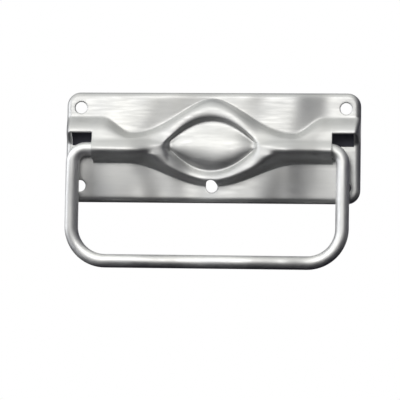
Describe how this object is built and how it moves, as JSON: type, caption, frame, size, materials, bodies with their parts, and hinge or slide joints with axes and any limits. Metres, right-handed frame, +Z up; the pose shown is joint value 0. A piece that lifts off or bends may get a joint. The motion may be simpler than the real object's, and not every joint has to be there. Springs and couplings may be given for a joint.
{
  "type": "chest handle",
  "caption": "Pressed steel plate with an embossed eye and two tunnels that hold the ends of a round swinging bail, for lifting a chest or case.",
  "frame": {"origin": "middle of the plate's outline, on the plane of its back that lies on the wall", "axes": "+X along the plate, +Y into the wall, +Z up; the bail hangs towards -Z in front of the plate"},
  "size_m": [0.12, 0.0097, 0.0719],
  "materials": {
    "plate_steel": "zinc-plated sheet, satin to bright",
    "bail_steel": "zinc-plated rod, satin"
  },
  "bodies": {
    "plate": {"plate": "plate_steel"},
    "bail": {"bail": "bail_steel"}
  },
  "joints": [
    {"name": "bail_swing", "type": "hinge", "parent": "plate", "child": "bail", "pos_m": [0, -0.0054, -0.0012], "axis": [-1, 0, 0], "range_deg": [0, 130]}
  ]
}
